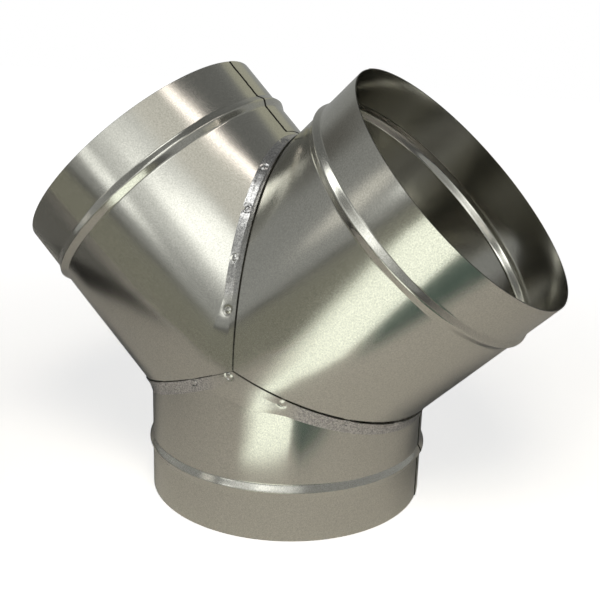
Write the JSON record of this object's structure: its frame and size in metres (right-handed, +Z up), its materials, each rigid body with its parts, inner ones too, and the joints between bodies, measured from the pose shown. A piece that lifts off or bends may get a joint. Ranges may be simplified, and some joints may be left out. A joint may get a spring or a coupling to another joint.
{
  "type": "equal wye duct fitting",
  "caption": "Sheet-steel duct fitting in which one upright round collar forks into equal round branches, with lapped seams and a stop bead near each open end.",
  "frame": {"origin": "middle of the inlet rim, which is the lowest point", "axes": "+Z up the inlet collar into the fork, +X towards the right branch, -Y the side shown in the picture"},
  "size_m": [0.3854, 0.2038, 0.3045],
  "materials": {
    "zinc_sheet": "hot-dip zinc coating, bright, with fine rolling marks"
  },
  "bodies": {
    "root": {"inlet_collar": "zinc_sheet", "left_branch": "zinc_sheet", "right_branch": "zinc_sheet"}
  },
  "joints": []
}
